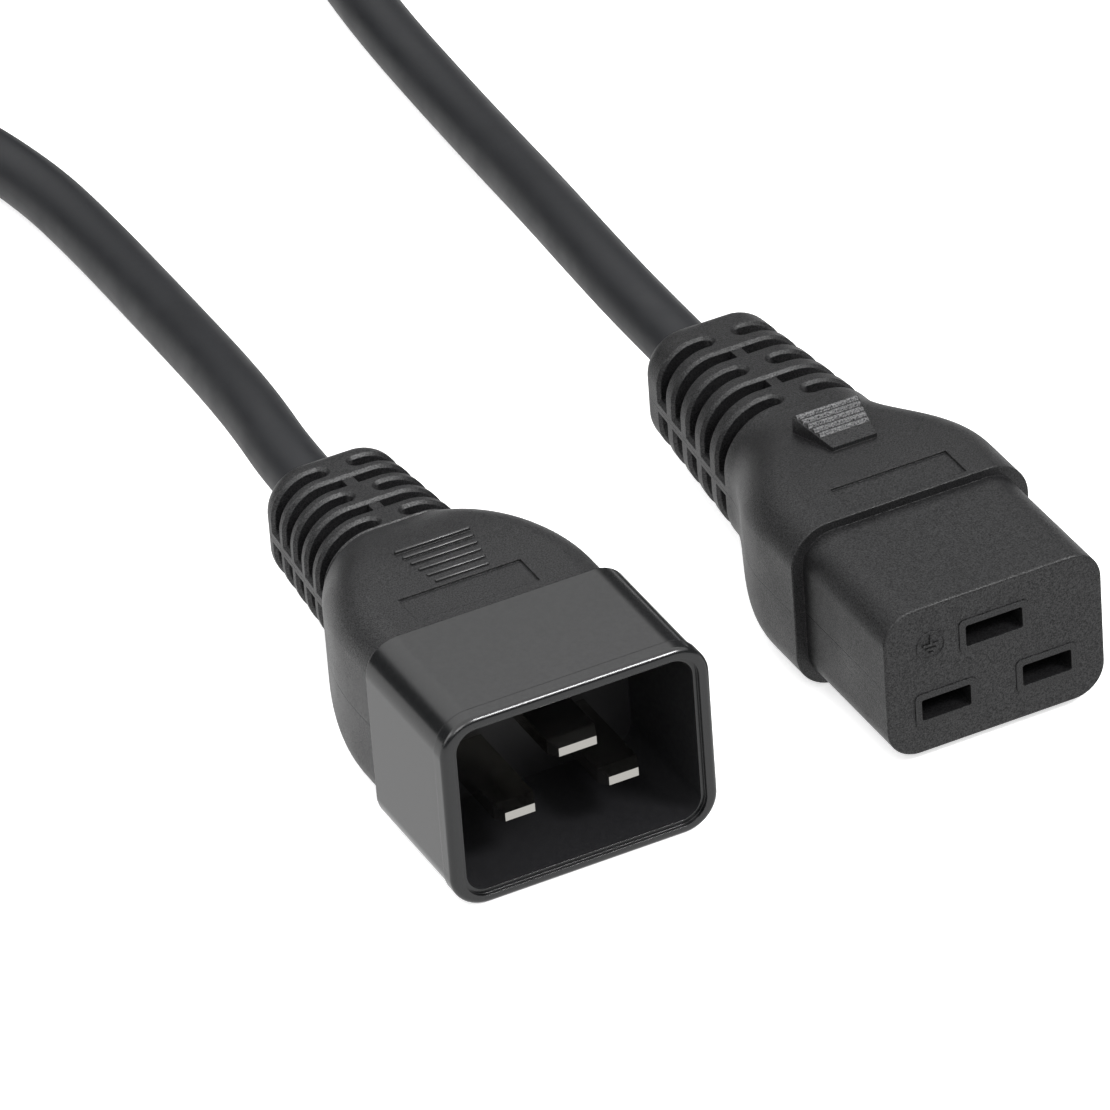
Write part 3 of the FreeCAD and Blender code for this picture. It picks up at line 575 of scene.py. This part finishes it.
class POWERLEAD_OT_connector_body(bpy.types.Operator):
    """Add the connector's grained overmould, with its thumb pad and strain relief"""
    bl_idname = "powerlead.connector_body"
    bl_label = "Connector body"

    def execute(self, context):
        moulding = context.scene.power_lead_moulding
        piece = smooth_casting("connector_overmould", "connector_body_shell")
        self.crisp_step(piece.data)
        # Where the parting line runs, how wide it is, and how round the edges are.
        seat = (CONNECTOR_AXIS_HEIGHT, CONNECTOR_FACE, moulding.seam, moulding.edge)
        finish_piece(piece, grained_pvc("Grained PVC, connector", moulding.pvc, *seat),
                     "connector_pvc", "connector_overmould")
        # The pad's ribs come from a rougher insert in the mould, with a coarser grit. Their
        # colour is painted lighter than the body's as a painted highlight for the light they
        # catch, and their grit gets stronger painted light and shade.
        pad_rib_painted_highlight = grained_pvc("Coarse-eroded PVC, thumb pad, painted highlight", linear("#5c5c5d"), *seat,
                             grit=0.2, depth=0.1, gloss=0.32, grit_painted_contrast=0.85)
        dress_patch(piece, pad_rib_painted_highlight, on_pad_ribs)
        return {"FINISHED"}

    def crisp_step(self, mesh):
        """Draws the round on the body's front edge in towards the corner it was struck round."""
        half = Vector((BODY_SIZE[0] / 2 - BODY_ROUND, BODY_SIZE[1] / 2 - BODY_ROUND))
        for vertex in mesh.vertices:
            along = vertex.co.y - STEP_PLACE
            if not -SLACK < along < STEP_ROUND + SLACK:
                continue
            place = Vector((vertex.co.x, vertex.co.z - CONNECTOR_AXIS_HEIGHT))
            past = Vector((abs(place.x) - half.x, abs(place.y) - half.y))
            corner = Vector((max(past.x, 0.0), max(past.y, 0.0)))
            outward = corner if corner.length > 0 else Vector((float(past.x > past.y),
                                                               float(past.x <= past.y)))
            depth = BODY_ROUND - (corner.length if corner.length > 0 else max(past))
            if depth > STEP_ROUND + SLACK:
                continue
            outward = outward.normalized() * max(depth, 0.0) * (1 - STEP_LEFT)
            vertex.co.y = STEP_PLACE + along * STEP_LEFT
            vertex.co.x += math.copysign(outward.x, place.x)
            vertex.co.z += math.copysign(outward.y, place.y)
        shade_by_facets(mesh, CREASE)


class POWERLEAD_OT_contact_carrier(bpy.types.Operator):
    """Add the insert that carries the contacts behind the three slots"""
    bl_idname = "powerlead.contact_carrier"
    bl_label = "Contact carrier"

    def execute(self, context):
        moulding = context.scene.power_lead_moulding
        piece = smooth_casting("contact_carrier", "slotted_insert")
        for vertex in piece.data.vertices:
            if vertex.co.y < CONNECTOR_FACE + TOUCH:
                vertex.co.y -= CARRIER_PROUD
        material = grained_pvc("Polyamide, fine matte", moulding.carrier, CONNECTOR_AXIS_HEIGHT,
                               0.0, moulding.seam, moulding.edge / 2, depth=0.03)
        finish_piece(piece, material, "carrier_plastic", "contact_carrier")
        return {"FINISHED"}


class POWERLEAD_OT_earth_mark(bpy.types.Operator):
    """Add the raised earth sign beside the earth slot"""
    bl_idname = "powerlead.earth_mark"
    bl_label = "Earth mark"

    def execute(self, context):
        deselect_all()
        bpy.ops.mesh.primitive_torus_add(
            major_segments=64, minor_segments=8, major_radius=MARK_RADIUS,
            minor_radius=MARK_LINE / 2, location=MARK_PLACE, rotation=(math.pi / 2, 0, 0))
        parts = [context.object]
        for up, width, tall in MARK_BARS:
            deselect_all()
            bpy.ops.mesh.primitive_cube_add(
                size=1, location=MARK_PLACE + Vector((0, 0, up)),
                scale=(width, 2 * MARK_RISE, tall))
            bar = context.object
            bevel = bar.modifiers.new("soft edge", "BEVEL")
            bevel.width, bevel.segments = MARK_LINE * 0.2, 2
            bpy.ops.object.transform_apply(location=False, rotation=False, scale=True)
            apply_all_modifiers(bar)
            parts.append(bar)
        moulding = context.scene.power_lead_moulding
        material = grained_pvc("Grained PVC, raised mark", moulding.pvc, UNREACHED, 0.0,
                               moulding.seam, moulding.edge / 2)
        finish_piece(joined("earth_mark", parts), material, "connector_pvc")
        return {"FINISHED"}


class POWERLEAD_OT_contacts(bpy.types.Operator):
    """Finish the folded contacts behind the slots"""
    bl_idname = "powerlead.contacts"
    bl_label = "Contacts"

    def execute(self, context):
        material = nickel_plating("Nickel on folded brass",
                                  context.scene.power_lead_moulding.plating)
        for name in ("line", "neutral", "earth"):
            dress(f"{name}_contact", material)
        return {"FINISHED"}


# ---------------------------------------------------------------- plug
def inside_shroud(face):
    """Whether a face is on the walls or the floor round the pins."""
    place = face.center / MM
    across, up = abs(place.x - PLUG_MIDDLE / MM), abs(place.z - PLUG_AXIS_HEIGHT / MM)
    return (HOLLOW_FRONT < place.y < HOLLOW_BACK and across < HOLLOW_ACROSS
            and up < HOLLOW_UP)


class POWERLEAD_OT_plug_body(bpy.types.Operator):
    """Add the plug's grained overmould, with its grip ribs and strain relief"""
    bl_idname = "powerlead.plug_body"
    bl_label = "Plug body"

    def execute(self, context):
        moulding = context.scene.power_lead_moulding
        piece = smooth_casting("plug_overmould", "plug_body_shell")
        seat = (PLUG_AXIS_HEIGHT, UNREACHED, moulding.seam, moulding.edge)
        material = grained_pvc("Grained PVC, plug", linear(PLUG_PVC), *seat, depth=0.05,
                               gloss=0.38)
        finish_piece(piece, material, "connector_pvc", "plug_overmould")
        self.add_grip(moulding)
        return {"FINISHED"}

    def add_grip(self, moulding):
        """Rounded crests on the six fine ridges of the grip, longer towards the cord."""
        deselect_all()
        bpy.ops.mesh.primitive_cylinder_add(
            vertices=20, radius=GRIP_CREST, depth=GRIP_SHORTEST,
            location=(PLUG_MIDDLE, GRIP_START, GRIP_HEIGHT),
            rotation=(0, math.pi / 2, 0))
        first = bpy.context.object
        settle(first)
        bpy.ops.object.mode_set(mode="EDIT")
        bpy.ops.mesh.select_mode(type="FACE")
        bpy.ops.mesh.select_all(action="DESELECT")
        bpy.ops.object.mode_set(mode="OBJECT")
        # Both ends are domed.
        for face in first.data.polygons:
            face.select = abs(face.normal.x) > 0.9
        bpy.ops.object.mode_set(mode="EDIT")
        bpy.ops.mesh.bevel(offset=GRIP_DOME, segments=3)
        bpy.ops.object.mode_set(mode="OBJECT")
        crests = [first]
        for step in range(1, GRIP_RIDGES):
            t = step / (GRIP_RIDGES - 1)
            crest = bpy.data.objects.new("crest", first.data.copy())
            bpy.context.scene.collection.objects.link(crest)
            for vertex in crest.data.vertices:
                vertex.co.y += GRIP_LENGTH * t
                vertex.co.x += math.copysign(GRIP_FLARE * t, vertex.co.x - PLUG_MIDDLE)
            crests.append(crest)
        # The ridges were cut into the mould with a smooth tool, so they shine.
        polished = smooth_plastic("PVC, polished ridges", linear(PLUG_PVC), 0.3,
                                  moulding.edge / 4)
        finish_piece(joined("grip_ridges", crests), polished, "connector_pvc")


class POWERLEAD_OT_plug_shroud(bpy.types.Operator):
    """Add the smooth shroud round the pins"""
    bl_idname = "powerlead.plug_shroud"
    bl_label = "Plug shroud"

    def execute(self, context):
        moulding = context.scene.power_lead_moulding
        piece = smooth_casting("plug_shroud", "pin_shroud", crease=SHROUD_CREASE)
        material = smooth_plastic("Polyamide, polished", moulding.shroud, 0.21, moulding.edge)
        finish_piece(piece, material, "shroud_plastic", "plug_shroud")
        # The mould's core is only fine-ground, so the inside is duller than the outside. Its
        # colour is painted lighter than the outside's, as painted light against the shade in the
        # hollow.
        inside_painted_lighter = smooth_plastic("Polyamide, fine-ground inside, painted lighter", linear("#1d1d1f"), 0.42,
                                0.05 * MM)
        dress_patch(piece, inside_painted_lighter, inside_shroud)
        return {"FINISHED"}


class POWERLEAD_OT_pins(bpy.types.Operator):
    """Add the three plated blades"""
    bl_idname = "powerlead.pins"
    bl_label = "Pins"

    def execute(self, context):
        moulding = context.scene.power_lead_moulding
        material = nickel_plating("Nickel on brass blades", moulding.plating)
        for name in ("line", "neutral", "earth"):
            piece = smooth_casting(f"{name}_pin", f"{name}_blade")
            self.draw_out_tip(piece.data)
            finish_piece(piece, material, "plated_brass", f"{name}_pin")
        return {"FINISHED"}

    def draw_out_tip(self, mesh):
        """Draws the tip's chamfers back along the blade, so that it tapers as coined pins do."""
        xs = [vertex.co.x for vertex in mesh.vertices]
        ys = [vertex.co.y for vertex in mesh.vertices]
        front, middle = min(ys), (min(xs) + max(xs)) / 2
        for vertex in mesh.vertices:
            depth = vertex.co.y - front
            if depth < TOUCH:
                vertex.co.x += math.copysign(TIP_NARROWED, middle - vertex.co.x)
            elif depth < TIP_CHAMFER:
                vertex.co.y += TIP_DRAWN_BACK
        shade_by_facets(mesh, PIN_CREASE)


# ---------------------------------------------------------------- sealed pieces
class POWERLEAD_OT_inner_pieces(bpy.types.Operator):
    """Finish the cores and inner mouldings that the overmoulds close in"""
    bl_idname = "powerlead.inner_pieces"
    bl_label = "Inner pieces"

    def execute(self, context):
        cores = {
            "line": core_insulation("PVC insulation, brown", "#54301c"),
            "neutral": core_insulation("PVC insulation, blue", "#1f57a8"),
            "earth": core_insulation("PVC insulation, green and yellow", "#3f8f3a", "#d8c22e"),
        }
        for name, material in cores.items():
            dress(f"connector_{name}_core", material)
            dress(f"plug_{name}_core", material)
        inner = smooth_plastic("PVC, unfinished inner mould", linear("#2b2b2b"), 0.6, 0.1 * MM)
        jacket = cord_pvc("PVC jacket, inside the ends", context.scene.power_lead_cord.colour)
        for end in ("connector", "plug"):
            dress(f"{end}_inner_mould", inner)
            dress(f"{end}_cord_end", jacket)
        return {"FINISHED"}


# ---------------------------------------------------------------- cord
def coil_points(radius, diameter, per_turn):
    """The coil's control points: turns inwards on the floor, then outwards on top of those."""
    centre = Vector(COIL_CENTRE) * MM
    inner = radius - diameter * TURNS_IN
    points = []
    for step in range(round((TURNS_IN + TURNS_OUT) * per_turn) + 1):
        turn = step / per_turn
        past = turn - TURNS_IN
        r = radius - diameter * turn if past < 0 else inner + diameter * past
        # The cord climbs by its own thickness over half a turn, gently at both ends.
        climb = min(max(past * 2 + 0.5, 0.0), 1.0)
        z = COIL_FLOOR + diameter * climb * climb * (3 - 2 * climb)
        # The line runs just inside its control points, so these stand out by as much.
        r /= math.cos(math.pi / per_turn)
        angle = 2 * math.pi * turn
        points.append(centre + Vector((r * math.cos(angle), r * math.sin(angle), z)))
    return points


class POWERLEAD_OT_cord(bpy.types.Operator):
    """Add the cord from the connector through its coil to the plug"""
    bl_idname = "powerlead.cord"
    bl_label = "Cord"

    def execute(self, context):
        cord = context.scene.power_lead_cord
        route = [Vector(p) * MM for p in LEAD_ROUTE]
        route += coil_points(cord.coil_radius, cord.diameter, cord.points_per_turn)
        route += [Vector(p) * MM for p in TAIL_ROUTE]
        curve = bpy.data.curves.new("power_cord", "CURVE")
        curve.dimensions = "3D"
        spline = curve.splines.new("NURBS")
        spline.points.add(len(route) - 1)
        for point, place in zip(spline.points, route):
            point.co = (*place, 1.0)
        spline.order_u = 3
        spline.use_endpoint_u = True
        spline.resolution_u = 6
        curve.bevel_depth = cord.diameter / 2
        curve.bevel_resolution = 7
        curve.use_fill_caps = True
        piece = bpy.data.objects.new("power_cord", curve)
        context.scene.collection.objects.link(piece)
        finish_piece(piece, cord_pvc("Extruded PVC jacket", cord.colour), "cord_jacket",
                     "cord_lead", "cord_coil", "cord_tail")
        on_cord = [bpy.data.objects[n] for n in (
            "plug_body_shell", "grip_ridges", "pin_shroud", "line_blade", "neutral_blade",
            "earth_blade")]
        on_cord += [NODES[n] for n in (
            "plug_inner_mould", "plug_cord_end", "plug_line_core", "plug_neutral_core",
            "plug_earth_core", "coil_tie_near", "coil_tie_far")]
        return {"FINISHED"}


class POWERLEAD_OT_coil_ties(bpy.types.Operator):
    """Finish the straps that hold the coil"""
    bl_idname = "powerlead.coil_ties"
    bl_label = "Coil ties"

    def execute(self, context):
        material = woven_strap("Woven polyester strap", "#17181a")
        for name in ("coil_tie_near", "coil_tie_far"):
            dress(name, material)
        return {"FINISHED"}


# ---------------------------------------------------------------- stage
class POWERLEAD_OT_stage(bpy.types.Operator):
    """Add the floor, the lamps and the camera"""
    bl_idname = "powerlead.stage"
    bl_label = "Stage"

    def execute(self, context):
        stage = context.scene.power_lead_stage
        self.add_floor(stage)
        self.add_lamps()
        self.add_world(context)
        self.add_camera(context, stage)
        context.scene.view_settings.view_transform = "Standard"
        return {"FINISHED"}

    def add_floor(self, stage):
        deselect_all()
        bpy.ops.mesh.primitive_plane_add(size=FLOOR_SIZE, location=(0, 0, 0))
        floor = bpy.context.object
        floor.name = "floor"
        material, place = new_material("White paper")
        # The paper's tooth, a millimetre across.
        tooth = add_node(material, "ShaderNodeTexNoise", {"Scale": 1 / (1.0 * MM)},
                         {"Vector": place})
        bump = add_node(material, "ShaderNodeBump", {"Strength": 0.02, "Distance": 0.05 * MM},
                        {"Height": tooth.outputs["Fac"]})
        paper = add_node(material, "ShaderNodeBsdfDiffuse", {"Color": list(stage.floor)},
                         {"Normal": bump.outputs["Normal"]})
        glow = add_node(material, "ShaderNodeEmission", {"Strength": PAPER_GLOW})
        lit = add_node(material, "ShaderNodeAddShader", {},
                       {0: paper.outputs[0], 1: glow.outputs[0]})
        rays = add_node(material, "ShaderNodeLightPath")
        shown = add_node(material, "ShaderNodeMixShader", {},
                         {0: rays.outputs["Is Camera Ray"], 1: paper.outputs[0],
                          2: lit.outputs[0]})
        mirrored = add_node(material, "ShaderNodeMath", {"operation": "MAXIMUM"},
                            {0: rays.outputs["Is Glossy Ray"],
                             1: rays.outputs["Is Transmission Ray"]})
        white = add_node(material, "ShaderNodeEmission", {"Strength": 1.0})
        mix = add_node(material, "ShaderNodeMixShader", {},
                       {0: mirrored.outputs[0], 1: shown.outputs[0], 2: white.outputs[0]})
        add_node(material, "ShaderNodeOutputMaterial", {}, {"Surface": mix.outputs[0]})
        floor.data.materials.append(material)

    def add_lamps(self):
        """A small softbox over the camera's right shoulder and two broad, weak ones."""
        for name, place, size, power in LAMPS:
            lamp = bpy.data.lights.new(name, "AREA")
            lamp.shape = "SQUARE"
            lamp.size = size
            lamp.energy = power
            holder = bpy.data.objects.new(name, lamp)
            holder.location = place
            holder.rotation_euler = (LAMP_AIM - Vector(place)).to_track_quat("-Z", "Y").to_euler()
            bpy.context.scene.collection.objects.link(holder)

    def add_world(self, context):
        """A white ceiling over a darker horizon, and plain white behind everything."""
        world = bpy.data.worlds.new("Soft studio")
        world.use_nodes = True
        world.node_tree.nodes.clear()
        coords = add_node(world, "ShaderNodeTexCoord")
        split = add_node(world, "ShaderNodeSeparateXYZ", {}, {0: coords.outputs["Generated"]})
        height = add_node(world, "ShaderNodeMapRange",
                          {**CEILING, "interpolation_type": "SMOOTHSTEP"},
                          {"Value": split.outputs["Z"]})
        studio = add_node(world, "ShaderNodeBackground", {"Color": (1, 1, 1, 1)},
                          {"Strength": height.outputs["Result"]})
        white = add_node(world, "ShaderNodeBackground", {"Color": (1, 1, 1, 1), "Strength": 1.0})
        rays = add_node(world, "ShaderNodeLightPath")
        mix = add_node(world, "ShaderNodeMixShader", {},
                       {0: rays.outputs["Is Camera Ray"], 1: studio.outputs[0],
                        2: white.outputs[0]})
        add_node(world, "ShaderNodeOutputWorld", {}, {"Surface": mix.outputs[0]})
        context.scene.world = world

    def add_camera(self, context, stage):
        a, e, roll = stage.azimuth, stage.elevation, stage.roll
        back = Vector((math.sin(a) * math.cos(e), -math.cos(a) * math.cos(e), math.sin(e)))
        level = Vector((math.cos(a), math.sin(a), 0.0))
        right = Matrix.Rotation(roll, 3, back) @ level
        up = back.cross(right)
        data = bpy.data.cameras.new("camera")
        data.sensor_width = 36.0
        data.lens = stage.lens
        data.clip_start, data.clip_end = 0.05, 20.0
        camera = bpy.data.objects.new("camera", data)
        camera.matrix_world = Matrix.Translation(
            Vector(stage.target) + back * stage.distance) @ Matrix(
            (right, up, back)).transposed().to_4x4()
        context.scene.collection.objects.link(camera)
        context.scene.camera = camera


class POWERLEAD_PT_panel(bpy.types.Panel):
    """Lists the pieces of the power lead"""
    bl_idname = "POWERLEAD_PT_panel"
    bl_label = "Power lead"
    bl_space_type = "VIEW_3D"
    bl_region_type = "UI"
    bl_category = "Power lead"

    def draw(self, context):
        for group in ("power_lead_moulding", "power_lead_cord", "power_lead_stage"):
            settings = getattr(context.scene, group)
            for name in settings.__annotations__:
                self.layout.prop(settings, name)
        for operator in OPERATORS:
            self.layout.operator(operator.bl_idname)


OPERATORS = (
    POWERLEAD_OT_connector_body, POWERLEAD_OT_contact_carrier, POWERLEAD_OT_earth_mark,
    POWERLEAD_OT_contacts, POWERLEAD_OT_plug_body, POWERLEAD_OT_plug_shroud,
    POWERLEAD_OT_pins, POWERLEAD_OT_inner_pieces, POWERLEAD_OT_coil_ties, POWERLEAD_OT_cord,
    POWERLEAD_OT_stage,
)
SETTINGS = {
    "power_lead_cord": CordSettings,
    "power_lead_moulding": MouldingSettings,
    "power_lead_stage": StageSettings,
}


def register():
    for cls in (*SETTINGS.values(), *OPERATORS, POWERLEAD_PT_panel):
        bpy.utils.register_class(cls)
    for name, group in SETTINGS.items():
        setattr(bpy.types.Scene, name, bpy.props.PointerProperty(type=group))


def unregister():
    for name in SETTINGS:
        delattr(bpy.types.Scene, name)
    for cls in reversed((*SETTINGS.values(), *OPERATORS, POWERLEAD_PT_panel)):
        bpy.utils.unregister_class(cls)


def main():
    register()
    bpy.ops.powerlead.connector_body()
    bpy.ops.powerlead.contact_carrier()
    bpy.ops.powerlead.earth_mark()
    bpy.ops.powerlead.contacts()
    bpy.ops.powerlead.plug_body()
    bpy.ops.powerlead.plug_shroud()
    bpy.ops.powerlead.pins()
    bpy.ops.powerlead.inner_pieces()
    bpy.ops.powerlead.coil_ties()
    bpy.ops.powerlead.cord()
    bpy.ops.powerlead.stage()


if __name__ == "__main__":
    main()
